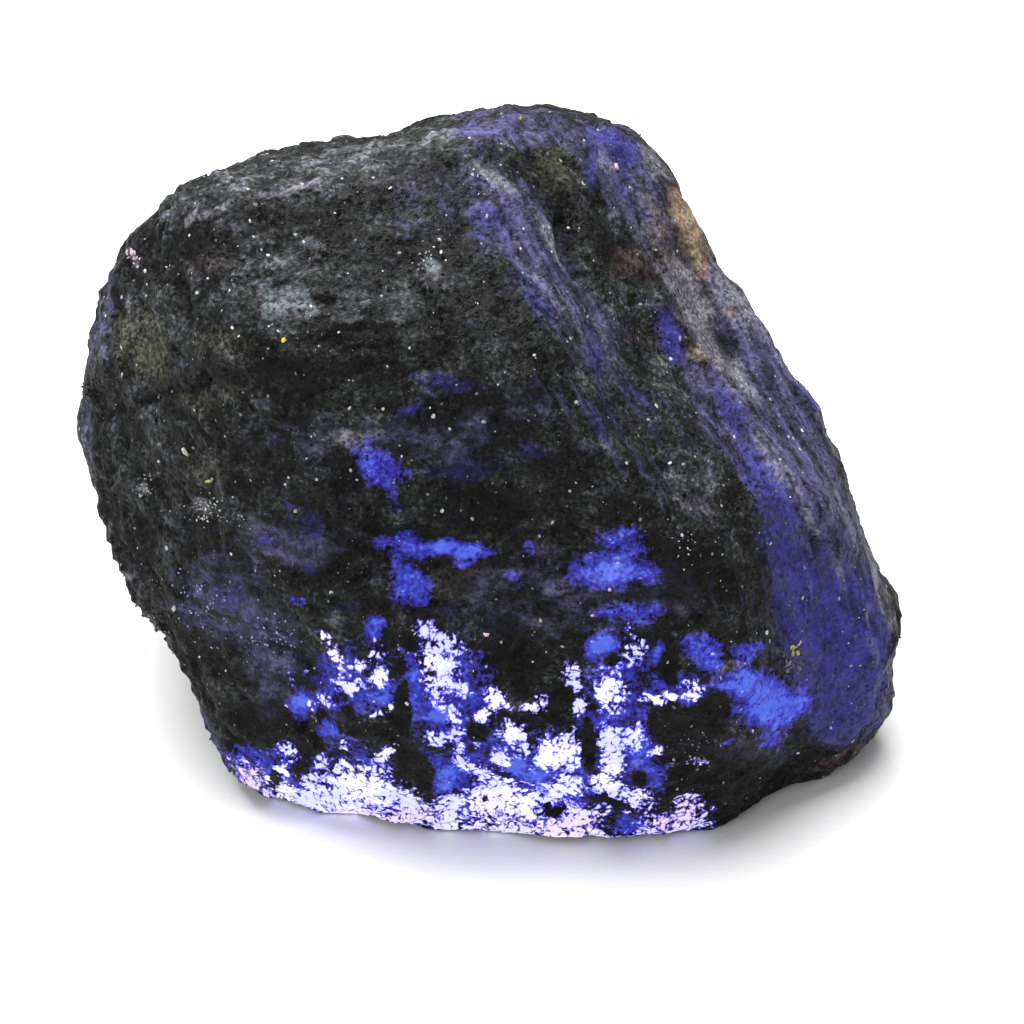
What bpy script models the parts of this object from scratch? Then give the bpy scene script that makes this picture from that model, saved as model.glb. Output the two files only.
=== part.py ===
"""A rough sapphire: one heavy, water-worn boulder of corundum, with a broken front,
a striated right side and a flat patch underneath on which it rests.

Lengths are in millimetres until the last step, and +Z is up. The stone is seen from -Y
in its usual view, with its high front on the left and its long striated slope on the right.
"""

import math

import bmesh
import bpy
from mathutils import Matrix, Vector, noise

METRES_PER_MM = 0.001

# The stone is a block of flat faces with worn edges, measured from a heart inside it.
HEART = Vector((0.0, 0.0, 30.0))
EDGE_SHARPNESS = 24.0
SQUARES_PER_SIDE = 30
FLAT_BELOW = 0.45

# Each face: the way it looks (degrees right of the front, degrees up) and its distance.
FACES = {
    "upper front": (-8, 51, 28.0),
    "middle front": (-1, 17, 24.5),
    "lower front left": (-13, -9, 30.0),
    "lower front right": (10, -10, 33.5),
    "left front flank": (-60, 21, 35.0),
    "left shoulder": (-70, 42, 40.0),
    "left front wall": (-36, 9, 29.0),
    "left wall": (-94, 0, 41.5),
    "left wall behind": (-103, 11, 41.5),
    "left overhang, high": (-83, -16, 39.5),
    "left overhang, low": (-76, -24, 39.0),
    "left foot": (-59, -43, 43.0),
    "top": (-142, 72, 31.5),
    "top, by the ridge": (45, 65, 28.0),
    "right slope": (56, 46, 23.5),
    "right front wall": (51, 24, 29.5),
    "right rim": (91, 28, 32.5),
    "right end": (91, -8, 43.0),
    "right foot": (42, -10, 40.5),
    "right overhang": (76, -27, 53.0),
    "right wall behind": (110, 13, 30.5),
    "right shoulder behind": (118, 23, 28.0),
    "back shoulder, left": (-136, 38, 33.5),
    "back shoulder, middle": (-164, 42, 33.0),
    "back shoulder, right": (159, 47, 31.5),
    "back wall": (174, 2, 31.0),
    "back corner, left": (-135, 12, 38.0),
    "back corner, right": (130, 16, 38.0),
    "back overhang": (180, -40, 36.0),
    "underside": (0, -90, 30.5),
}

# Single lumps (positive) and scoops (negative): centre, reach, height.
LUMPS = {
    "scoop under the left overhang": ((-34.0, -13.0, 11.5), 6.0, -2.8),
    "lip of the left overhang": ((-36.0, -9.5, 19.5), 4.0, 0.9),
    "knob on the right end": ((41.0, -10.0, 16.5), 3.4, 1.4),
    "notch under the knob": ((40.5, -12.5, 11.0), 3.0, -1.6),
    "broken corner, low right": ((30.0, -22.0, 2.5), 4.0, -1.8),
    "hollow in the lower front": ((1.5, -28.0, 23.0), 9.0, -1.0),
    "bulge of the lower front": ((-13.0, -26.0, 14.0), 8.0, 0.8),
    "swelling of the upper front": ((-16.0, -12.0, 52.0), 9.0, 0.8),
    "dip in the upper front": ((-27.0, -9.0, 47.0), 6.0, -0.8),
    "step in the top edge": ((-12.0, 5.5, 60.0), 4.5, 0.8),
    "scoop in the back wall": ((10.0, 31.0, 26.0), 10.0, -1.8),
    "swelling of the back wall": ((-14.0, 31.0, 36.0), 9.0, 1.2),
}

# Long ridges (positive) and creases (negative): half width, height, and the line over the stone.
LINES = {
    "edge of the top": (2.6, 0.6, ((-34.0, 4.0, 49.5), (-17.0, -5.0, 59.5), (-2.5, -1.5, 60.5))),
    "ridge beside the front": (3.2, 0.7, ((-2.5, -1.5, 60.5), (6.5, -5.0, 54.5), (15.5, -14.0, 42.5))),
    "ridge beside the front, low": (3.2, 0.7, ((15.5, -14.0, 42.5), (22.5, -17.5, 35.0), (29.0, -21.0, 21.0))),
    "crease beside the ridge": (1.8, -1.3, ((6.0, -2.5, 56.0), (8.0, -7.0, 52.0), (10.5, -9.0, 49.5))),
    "crest of the slope": (2.4, 1.2, ((17.5, -3.0, 47.0), (25.0, -10.5, 36.5), (29.0, -13.0, 31.5))),
    "crest of the slope, low": (2.4, 1.2, ((29.0, -13.0, 31.5), (34.5, -14.0, 21.5), (37.0, -15.0, 15.5))),
    "trough behind the crest": (2.4, -0.8, ((25.0, -2.0, 42.0), (32.0, -7.0, 32.0), (37.5, -9.0, 21.0))),
    "crease across the front": (2.0, -0.9, ((-38.5, -3.5, 34.5), (-22.5, -16.5, 45.5), (-2.5, -20.0, 48.0))),
    "crack down the back": (1.8, -1.1, ((-4.0, 30.0, 50.0), (2.0, 33.0, 34.0), (-3.0, 33.0, 14.0))),
}

# Striations run down the slope, side by side, and wander a little.
SLOPE_LOOK = (62, 30)
SLOPE_STARTS = 0.55
SLOPE_FULL = 0.9
STRIA_RUN = Vector((20.5, -24.5, -36.0)).normalized()
STRIA_SIDE = Vector((0.78, -0.17, 0.60)).normalized()
STRIA_PITCH = 8.5
STRIA_HEIGHT = 0.42
STRIA_WANDER = 1.8
STRIA_WANDER_SIZE = 16.0
STRIA_PATCH = (9.0, 22.0)

# The rough surface: the size of its swellings and their height, then low ledges between them.
SWELLINGS = ((15.0, 0.7), (7.0, 0.45))
LEDGE_SPACING = 17.0
LEDGE_SHIFT = Vector((4.1, 0.0, 2.6))
LEDGE_COUNT = 3.2
LEDGE_HEIGHT = 0.62
SMOOTH_UP_TO = 4.0

STONE_COLOUR = (0.030, 0.031, 0.038, 1.0)
STONE_ROUGHNESS = 0.72


def clear_scene():
    for thing in list(bpy.data.objects):
        bpy.data.objects.remove(thing, do_unlink=True)


def facing(azimuth, elevation):
    """The unit vector that looks azimuth degrees right of the front and elevation degrees up."""
    turn = math.radians(azimuth)
    rise = math.radians(elevation)
    return Vector((math.sin(turn) * math.cos(rise), -math.cos(turn) * math.cos(rise), math.sin(rise)))


def ramp(value, start, end):
    """0 up to start, 1 from end on, and a straight climb between."""
    return min(max((value - start) / (end - start), 0.0), 1.0)


def worn_block(ray, faces):
    """How far the block of flat faces reaches from the heart along ray, with its edges worn round."""
    total = 0.0
    for look, distance in faces:
        total += max(ray.dot(look) / distance, 0.0) ** EDGE_SHARPNESS
    return total ** (-1.0 / EDGE_SHARPNESS)


def to_line(place, line):
    """The distance from place to the nearest point of a line through several points."""
    nearest = math.inf
    for start, end in zip(line, line[1:]):
        run = end - start
        share = (place - start).dot(run) / run.length_squared
        share = min(max(share, 0.0), 1.0)
        nearest = min(nearest, (place - start - share * run).length)
    return nearest


def bump(distance, reach):
    """1 at a feature's middle, falling smoothly, and next to nothing at twice its reach."""
    return math.exp(-((distance / reach) ** 2))


def lumps_and_lines(place):
    height = sum(rise * bump((place - centre).length, reach) for centre, reach, rise in PLACED_LUMPS)
    height += sum(rise * bump(to_line(place, line), half) for line, half, rise in PLACED_LINES)
    return height


def striations(place, ray):
    """Low ridges down the slope, only where the stone looks right and up."""
    share = ramp(ray.dot(facing(*SLOPE_LOOK)), SLOPE_STARTS, SLOPE_FULL)
    across = place.dot(STRIA_SIDE) + STRIA_WANDER * noise.noise(place / STRIA_WANDER_SIZE)
    along = place.dot(STRIA_RUN)
    patch = noise.noise(Vector((across / STRIA_PATCH[0], along / STRIA_PATCH[1], 0.0)))
    return share * (0.6 + 0.8 * patch) * STRIA_HEIGHT * math.sin(2.0 * math.pi * across / STRIA_PITCH)


def ledges(place):
    """Steps of the broken surface: level patches joined by short slopes."""
    level = LEDGE_COUNT * noise.noise(place / LEDGE_SPACING + LEDGE_SHIFT)
    below = math.floor(level)
    climb = ramp(level - below, 0.25, 0.75)
    return LEDGE_HEIGHT * (below + climb * climb * (3.0 - 2.0 * climb))


def roughness(place):
    """Swellings and ledges, which fade out just above the flat underside."""
    height = sum(rise * noise.noise(place / size) for size, rise in SWELLINGS) + ledges(place)
    return height * ramp(place.z, 0.0, SMOOTH_UP_TO)


def on_stone(ray, faces):
    """The point of the finished surface along ray, laid on the floor where it would reach below it."""
    place = HEART + ray * worn_block(ray, faces)
    place += ray * (lumps_and_lines(place) + striations(place, ray) + roughness(place))
    if place.z < FLAT_BELOW:
        place = HEART + ray * (HEART.z / -ray.z)
        place.z = 0.0
    return place


def ball_of_squares():
    """A cube of even squares, blown up so that its squares stay much the same size on the ball."""
    ball = bmesh.new()
    bmesh.ops.create_cube(ball, size=2.0)
    bmesh.ops.subdivide_edges(ball, edges=ball.edges[:], cuts=SQUARES_PER_SIDE - 1, use_grid_fill=True)
    for corner in ball.verts:
        spread = Vector([math.tan(value * math.pi / 4.0) for value in corner.co])
        corner.co = spread.normalized()
    return ball


def floor_faces(stone):
    return [face for face in stone.faces if all(corner.co.z == 0.0 for corner in face.verts)]


def flatten_underside(stone):
    """Joins all that lies on the floor to one flat patch, then splits every face in triangles."""
    bmesh.ops.dissolve_faces(stone, faces=floor_faces(stone), use_verts=True)
    bmesh.ops.poke(stone, faces=floor_faces(stone))
    bmesh.ops.triangulate(stone, faces=stone.faces[:], quad_method="SHORT_EDGE")


def halfway(stone, axis):
    """The middle between the stone's lowest and highest value along axis."""
    values = [corner.co[axis] for corner in stone.verts]
    return (min(values) + max(values)) / 2.0


def stone_material():
    material = bpy.data.materials.new("sapphire_rock")
    material.use_nodes = True
    shader = material.node_tree.nodes["Principled BSDF"]
    shader.inputs["Base Color"].default_value = STONE_COLOUR
    shader.inputs["Roughness"].default_value = STONE_ROUGHNESS
    shader.inputs["Metallic"].default_value = 0.0
    material.diffuse_color = STONE_COLOUR
    return material


def make_stone():
    faces = [(facing(azimuth, elevation), distance) for azimuth, elevation, distance in FACES.values()]
    stone = ball_of_squares()
    for corner in stone.verts:
        corner.co = on_stone(corner.co.copy(), faces)
    flatten_underside(stone)
    bmesh.ops.translate(stone, verts=stone.verts[:], vec=(-halfway(stone, 0), -halfway(stone, 1), 0.0))
    bmesh.ops.transform(stone, matrix=Matrix.Scale(METRES_PER_MM, 4), verts=stone.verts[:])
    bmesh.ops.recalc_face_normals(stone, faces=stone.faces[:])
    mesh = bpy.data.meshes.new("rough_sapphire")
    stone.to_mesh(mesh)
    stone.free()
    mesh.materials.append(stone_material())
    thing = bpy.data.objects.new("rough_sapphire", mesh)
    bpy.context.scene.collection.objects.link(thing)
    return thing


PLACED_LUMPS = [(Vector(centre), reach, rise) for centre, reach, rise in LUMPS.values()]
PLACED_LINES = [([Vector(point) for point in line], half, rise) for half, rise, line in LINES.values()]

clear_scene()
make_stone()
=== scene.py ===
"""A rough sapphire on a pale floor: a dark, granular boulder with a streaked blue side and
a lower front through which light comes. Lengths are in millimetres unless a name says otherwise.
"""

import math
import random

import bmesh
import bpy
import numpy as np
from mathutils import Euler, Matrix, Vector, noise

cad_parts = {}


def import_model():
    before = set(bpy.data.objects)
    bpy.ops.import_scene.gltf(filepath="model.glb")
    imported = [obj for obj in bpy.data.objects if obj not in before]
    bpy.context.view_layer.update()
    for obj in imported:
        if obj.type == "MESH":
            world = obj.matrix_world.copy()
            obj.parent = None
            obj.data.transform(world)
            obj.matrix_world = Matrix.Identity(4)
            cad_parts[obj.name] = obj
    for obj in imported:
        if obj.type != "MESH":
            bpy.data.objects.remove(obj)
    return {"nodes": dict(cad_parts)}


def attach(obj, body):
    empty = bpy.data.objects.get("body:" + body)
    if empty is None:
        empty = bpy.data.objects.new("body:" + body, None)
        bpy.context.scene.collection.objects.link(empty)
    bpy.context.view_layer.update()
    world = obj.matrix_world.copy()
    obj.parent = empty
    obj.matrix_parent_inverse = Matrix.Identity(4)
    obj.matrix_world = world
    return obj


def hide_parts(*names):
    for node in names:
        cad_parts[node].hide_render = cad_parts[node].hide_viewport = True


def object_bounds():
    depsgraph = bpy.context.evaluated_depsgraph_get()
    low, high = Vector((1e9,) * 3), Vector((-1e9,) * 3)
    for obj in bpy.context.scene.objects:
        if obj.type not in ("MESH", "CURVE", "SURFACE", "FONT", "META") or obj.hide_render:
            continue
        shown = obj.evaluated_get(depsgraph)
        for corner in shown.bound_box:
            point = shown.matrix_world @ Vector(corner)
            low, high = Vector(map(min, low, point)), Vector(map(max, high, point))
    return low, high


MM = 0.001
STONE = "rough_sapphire"

# The camera: how high it looks from, how far off it is, and what it looks at.
CAMERA_RISE = 35.0
CAMERA_DISTANCE = 241.0
CAMERA_TARGET = Vector((2.0, -4.4, 22.5))
LENS = 85.0
SENSOR = 36.0
FRAME_PIXELS = 1024

# How squarely a spot on the stone faces the camera where it is hidden, and where it is plain.
HIDDEN, PLAIN = -0.14, 0.02

# The studio: the place and the size of each light in mm and its power, the spot that the lights
# face, and how bright the rest of the studio is.
LIGHTS = {
    "light above": ((-60, 100, 420), 420, 5.0),
    "light in front": ((-250, -350, 250), 300, 0.8),
}
LIT_SPOT = Vector((0, 0, 30))
STUDIO_BRIGHTNESS = 0.35
FLOOR_HALF_METRES = 4.0
FLOOR_COLOUR = (0.86, 0.86, 0.86, 1)

# The skin of the stone: a fine even mesh over the solid, softened, then made rough.
SKIN_CELL = 0.5
WELD_DISTANCE = 0.001
SOFTENING_ROUNDS = 6
SOFTENING_STRENGTH = 0.5
FLOOR_FADE = 1.5

# Long swellings: their size and height, and how much finer ones are laid over them.
SWELLINGS = (5.0, 0.32)
SWELLING_DETAIL = (0.9, 2.1, 4)

# Sharp crags: their size and height, and how many times they are laid over each other.
CRAGS = (2.3, 0.20)
CRAG_DETAIL = 3

# Grains of the rock that stand higher or lower than their neighbours: size and height. The groove
# between two of them is given as a share of their size and of their height, and the pick makes
# each of them draw a height of its own.
ROCK_GRAINS = ((3.1, 0.26), (1.5, 0.15))
GROOVE_WIDTH = 0.22
GROOVE_DEPTH = 0.4
GRAIN_PICK = 7.3

# Scattered pits: their spacing and depth, their reach as a share of the spacing, the share of the
# places that stay without one, and the pick that decides which.
PITS = (4.2, 0.55)
PIT_REACH = 0.34
PIT_FREE = 0.66
PIT_PICK = 5.1

# Low steps of the broken surface: the size of the swellings they follow, how many, their height.
# Then their place in the noise, where in a step its climb starts, and its share of the step.
LEDGES = ((7.5, 3.2, 0.54), (3.4, 2.2, 0.14))
LEDGE_SHIFT = 1.7
CLIMB_START = 0.36
CLIMB_SHARE = 0.28

# Striations run down the slope, in the direction and across the direction given here. Each kind
# has its width, its length, its place in the noise and its height. They bend a little: the size of
# the bends and how far they reach.
STRIA_RUN = Vector((20.5, -24.5, -36.0)).normalized()
STRIA_SIDE = Vector((0.78, -0.17, 0.60)).normalized()
STRIAE = ((1.0, 12.0, 0.3, 0.26), (2.6, 20.0, 5.1, 0.46))
STRIA_BEND = (9.0, 1.2)

# The slope with the striations: the way it looks, how soon a spot counts as slope, and how much of
# the grains, the ledges and the crags is worn away on it.
SLOPE_LOOK = Vector((0.75, -0.35, 0.55)).normalized()
SLOPE_SPREAD = 1.25
SLOPE_EDGE = 3
WORN_GRAINS, WORN_LEDGES, WORN_CRAGS = 0.65, 0.5, 0.4
STRIATED = (0.55, 0.80)

# Edges of grains, ledges and crags run crookedly: the size of the bends, how far they reach, and
# the seed that fixes them.
BENDS = (1.7, 0.6)
NOISE_SEED = 5

# Edges of the patches wander: the size of the bends in mm, and the place in the noise of those
# across and down. Then how many pixels they reach, and how sharply the patches end.
WANDERS = ((2.4, 3.0, 8.0), (6.0, 13.0, 18.0))
WANDER_PIXELS = 6.0
PATCH_REACH = 0.72
PATCH_EDGE = 1.6

# Patches are placed by how the camera sees the stone. Each is a soft oval: its middle, half length
# and half width in pixels, its tilt in degrees clockwise, and its strength.

# Light that breaks on sugary grains into white.
WHITE_LIGHT = {
    "slanting arm": (437, 634, 34, 12, 30, 0.85),
    "big block": (441, 663, 30, 24, 40, 1.0),
    "big block, low": (438, 685, 22, 13, 0, 0.85),
    "right of the block": (463, 690, 9, 8, 80, 0.95),
    "pale side": (436, 704, 14, 8, 0, 0.8),
    "upright": (455, 728, 28, 10, 85, 1.0),
    "foot of the block": (439, 739, 12, 11, 0, 1.0),
    "slant": (497, 699, 21, 11, 35, 1.0),
    "slant, foot": (485, 714, 13, 8, -20, 1.0),
    "oval": (534, 708, 17, 9, -10, 1.0),
    "over the oval": (538, 695, 12, 7, 0, 0.6),
    "string": (463, 763, 20, 9, 42, 1.0),
    "string, end": (482, 774, 14, 12, 45, 1.0),
    "lump": (510, 732, 19, 12, 0, 1.0),
    "lump, low": (498, 757, 16, 12, 60, 1.0),
    "small upright": (476, 746, 9, 5, 85, 0.85),
    "between the lumps": (522, 749, 10, 12, 0, 0.75),
    "wide block": (555, 753, 30, 25, 10, 1.0),
    "wide block, right": (572, 752, 26, 13, 80, 1.0),
    "foot": (506, 799, 38, 28, 20, 1.0),
    "foot, left": (447, 808, 18, 18, 0, 1.0),
    "foot, middle": (568, 788, 21, 12, 5, 1.0),
    "foot, right": (603, 788, 21, 14, 20, 1.0),
    "bottom edge": (570, 823, 48, 19, -6, 1.0),
    "column, high": (630, 648, 25, 20, 80, 0.74),
    "column": (611, 692, 26, 22, 80, 0.98),
    "column, low": (610, 745, 28, 17, 85, 1.0),
    "column, low right": (635, 738, 20, 14, 70, 0.9),
    "column, foot": (614, 768, 15, 13, 0, 1.0),
    "pickets": (571, 676, 20, 13, 85, 0.9),
    "small lump": (578, 704, 10, 9, 0, 1.0),
    "drop": (574, 726, 9, 6, 75, 0.95),
    "pair at the right": (663, 700, 15, 10, -25, 1.0),
    "lavender lump": (690, 687, 16, 13, -20, 0.78),
    "grains at the right": (647, 700, 11, 12, 0, 0.62),
    "bottom edge, right": (640, 803, 20, 9, -15, 0.9),
    "bottom edge, far right": (672, 819, 44, 13, -10, 0.8),
    "right rim grains": (690, 802, 26, 8, 0, 0.55),
    "streak at the right": (697, 760, 12, 4, 5, 0.9),
    "speck at the right": (655, 749, 6, 8, 60, 0.8),
    "left lump, high": (323, 635, 10, 8, 60, 0.74),
    "left slant": (334, 654, 15, 7, 62, 1.0),
    "left block": (358, 665, 12, 10, 0, 1.0),
    "left block, top": (376, 652, 13, 9, 0, 0.76),
    "left block, right": (376, 678, 15, 12, 70, 1.0),
    "left block, low": (342, 685, 18, 10, 65, 1.0),
    "left middle": (358, 684, 10, 8, 0, 0.7),
    "left spot": (377, 716, 9, 6, 0, 0.9),
    "left spot, right": (390, 711, 9, 5, 85, 0.9),
    "left string": (325, 698, 14, 6, 38, 0.74),
    "left string, thin": (287, 678, 15, 5, 75, 0.56),
    "left string, pale": (305, 663, 14, 5, 70, 0.64),
    "azure streak": (310, 706, 11, 5, 80, 0.62),
    "over the row": (322, 757, 9, 9, 0, 1.0),
    "over the row, blue": (343, 748, 8, 8, 0, 0.76),
    "over the row, right": (384, 754, 15, 9, -40, 1.0),
    "row, end": (281, 770, 10, 8, 60, 0.95),
    "row, left": (308, 780, 15, 12, 80, 1.0),
    "row": (330, 789, 20, 18, 80, 1.0),
    "row, middle": (352, 786, 22, 22, 0, 1.0),
    "row, right": (380, 792, 30, 22, 0, 1.0),
    "row, right end": (406, 798, 20, 16, 20, 1.0),
    "row, far right": (428, 812, 18, 14, 20, 0.9),
    "corner": (410, 814, 18, 11, 10, 0.95),
    "underside, left": (310, 800, 26, 11, 10, 1.0),
    "underside": (356, 814, 40, 12, 6, 1.0),
    "underside, middle": (402, 824, 30, 9, 4, 1.0),
    "left corner of the row": (284, 792, 22, 12, 30, 0.9),
    "low left corner": (256, 786, 24, 9, 30, 0.66),
    "over the row, middle": (356, 768, 46, 10, 0, 0.62),
    "between the feet": (478, 806, 24, 24, 0, 0.8),
    "between the feet, right": (545, 800, 26, 18, 0, 0.85),
    "right of the feet": (634, 792, 22, 12, 0, 0.66),
    "underside, right": (452, 828, 26, 10, 0, 1.0),
    "underside, foot": (506, 832, 40, 13, 0, 1.0),
    "underside, far right": (580, 840, 60, 10, 0, 1.0),
    "underside, end": (668, 832, 50, 9, -8, 0.85),
    "left edge grains": (287, 751, 15, 11, 20, 0.68),
    "left edge grains, low": (262, 778, 22, 10, 25, 0.6),
    "low left edge": (242, 768, 32, 13, 45, 0.48),
}

# Light that comes through smooth and blue.
BLUE_LIGHT = {
    "band over the eye": (461, 549, 42, 12, 3, 1.0),
    "tail of the band": (461, 566, 14, 6, -15, 0.9),
    "beside the eye": (402, 548, 30, 22, 0, 0.66),
    "beside the eye, low": (408, 586, 28, 24, 85, 0.76),
    "right block, high": (618, 541, 38, 22, 0, 0.62),
    "right block, low": (607, 571, 60, 25, -3, 0.72),
    "right block, right end": (655, 575, 20, 16, 0, 0.45),
    "violet band": (628, 613, 46, 13, -2, 0.62),
    "speckled spot": (508, 580, 17, 12, 80, 0.4),
    "short streak": (524, 549, 11, 7, 85, 0.42),
    "lavender patch": (380, 466, 44, 24, 36, 0.62),
    "tail of the lavender patch": (393, 500, 22, 9, 85, 0.4),
    "far spot": (301, 600, 12, 8, 15, 0.46),
    "drop": (373, 629, 22, 14, 88, 0.8),
    "left glow": (300, 705, 20, 16, 70, 0.78),
    "left glow, low": (329, 731, 13, 11, 0, 0.78),
    "left glow, haze": (284, 712, 16, 11, 0, 0.46),
    "left glow, right": (382, 696, 13, 12, 0, 0.84),
    "left glow, middle": (355, 705, 11, 10, 0, 0.56),
    "sky patch": (768, 705, 42, 32, 0, 0.95),
    "sky patch, upper arm": (742, 682, 36, 14, -12, 0.8),
    "sky patch, right": (800, 700, 20, 22, 0, 0.4),
    "over the dark": (710, 654, 22, 20, 80, 0.7),
    "over the dark, left": (692, 648, 16, 16, 0, 0.48),
    "over the dark, right": (750, 648, 20, 19, 0, 0.6),
    "low spot": (726, 739, 13, 8, 0, 0.46),
    "low spot, right": (772, 742, 20, 10, 0, 0.34),
    "cap of the column": (598, 646, 20, 13, -25, 1.0),
    "edge of the column": (656, 651, 14, 9, 85, 0.56),
    "left side of the block": (412, 680, 38, 12, 80, 0.72),
    "inside the block": (436, 713, 13, 10, 0, 1.0),
    "under the string": (446, 777, 18, 17, 0, 0.72),
    "under the string, low": (465, 810, 14, 22, 0, 0.5),
    "between the blocks": (541, 775, 16, 12, 85, 0.95),
    "between the lumps": (518, 765, 10, 12, 30, 0.9),
    "column's side": (641, 748, 26, 13, 85, 0.66),
    "violet beside the column": (660, 776, 20, 15, 85, 0.54),
    "violet at the bottom": (629, 825, 18, 13, 0, 0.66),
    "lower left rim": (232, 764, 36, 14, 42, 0.36),
    "bottom left": (272, 760, 30, 18, 10, 0.38),
    "field at the left": (350, 682, 60, 52, 0, 0.48),
    "field under it": (352, 760, 62, 30, 0, 0.44),
    "field in the middle": (452, 700, 64, 84, 0, 0.52),
    "field at the bottom": (540, 782, 116, 66, 0, 0.56),
    "field at the lower left": (344, 800, 84, 26, 4, 0.6),
    "field at the left edge": (262, 762, 44, 20, 36, 0.4),
    "field at the right": (622, 700, 48, 84, 0, 0.52),
    "field beside the pair": (680, 690, 36, 26, 0, 0.5),
}

# Light that shows rosy, close to the bottom edge.
ROSY = {
    "bottom edge": (575, 826, 56, 18, -4, 0.8),
    "bottom edge, right": (676, 814, 60, 22, -8, 1.0),
    "foot": (500, 812, 40, 22, 0, 0.3),
    "left corner": (412, 818, 28, 14, 0, 0.8),
    "underside": (350, 822, 60, 10, 4, 0.6),
    "left edge": (240, 780, 50, 24, 40, 0.9),
    "bottom row": (366, 812, 30, 10, 0, 0.6),
}

# Deep blue stone that shows without light behind it.
DEEP_BLUE = {
    "right face": (838, 640, 116, 60, 80, 0.92),
    "right face, right": (868, 660, 60, 22, 84, 0.6),
    "right face, left": (796, 610, 64, 28, 84, 0.66),
    "right face, low": (836, 704, 46, 34, 90, 0.8),
    "slope": (768, 488, 66, 22, 58, 0.72),
    "slope, low": (784, 552, 54, 26, 66, 0.66),
    "top right rim": (614, 146, 40, 22, 30, 0.72),
    "top": (487, 132, 46, 22, -12, 0.3),
    "ridge": (494, 222, 38, 24, 50, 0.48),
    "ridge, low": (535, 296, 54, 18, 60, 0.5),
    "ridge, end": (595, 352, 36, 14, 75, 0.6),
    "beside the crest": (669, 336, 38, 17, 75, 0.9),
    "below the crest": (730, 410, 40, 15, 52, 0.66),
    "upper streaks": (590, 168, 50, 10, 80, 0.5),
    "upper streaks, right": (628, 190, 40, 10, 66, 0.4),
    "left spot": (314, 527, 22, 15, 0, 0.62),
    "left spot, small": (263, 545, 14, 8, 0, 0.55),
    "left spot, round": (309, 567, 10, 8, 0, 0.7),
    "left spot, high": (292, 507, 9, 9, 0, 0.55),
    "faint spot": (536, 452, 22, 14, 20, 0.56),
    "faint spot, left": (412, 413, 16, 11, 0, 0.56),
    "front": (460, 470, 60, 20, 0, 0.34),
    "front, right of the middle": (640, 395, 44, 16, 30, 0.36),
    "front, ridge side": (600, 420, 36, 20, 40, 0.34),
    "right rim": (812, 398, 34, 12, 62, 0.72),
    "left foot": (228, 598, 26, 22, 20, 0.46),
    "above the drop": (350, 610, 20, 14, 0, 0.3),
    "dark hollow": (447, 385, 50, 14, 10, 0.4),
    "low right": (772, 740, 18, 12, 0, 0.8),
}

# Dusty violet stone, in wide soft patches.
HAZE = {
    "top": (520, 128, 90, 26, 4, 0.75),
    "ridge": (524, 236, 105, 42, 56, 0.74),
    "ridge, low": (588, 335, 74, 28, 58, 0.6),
    "upper slope": (640, 200, 70, 40, 60, 0.6),
    "top right rim": (606, 150, 40, 30, 30, 0.9),
    "slope, right": (760, 350, 120, 46, 58, 0.8),
    "slope": (735, 430, 120, 30, 56, 0.7),
    "right wall": (820, 520, 140, 54, 66, 0.95),
    "right face": (830, 630, 116, 62, 80, 1.0),
    "right foot": (850, 712, 44, 30, -40, 0.8),
    "left rim": (104, 318, 52, 16, 100, 0.6),
    "left rim, low": (88, 420, 60, 10, 88, 0.4),
    "left foot": (215, 600, 62, 52, 40, 0.6),
    "left foot, low": (270, 640, 50, 40, 40, 0.6),
    "lower left edge": (212, 740, 60, 14, 58, 0.7),
    "front": (330, 440, 110, 26, 0, 0.32),
    "front, middle": (450, 440, 90, 30, 0, 0.4),
    "left": (290, 540, 70, 30, 0, 0.55),
    "upper front": (430, 200, 60, 40, -20, 0.4),
    "lower front": (560, 595, 190, 60, 0, 0.46),
    "front, right side": (640, 440, 110, 60, 30, 0.24),
    "below the crease": (520, 400, 90, 30, 0, 0.26),
    "left of the lit field": (270, 680, 40, 40, 0, 0.6),
    "bottom right": (770, 745, 90, 16, -12, 0.4),
}

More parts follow.
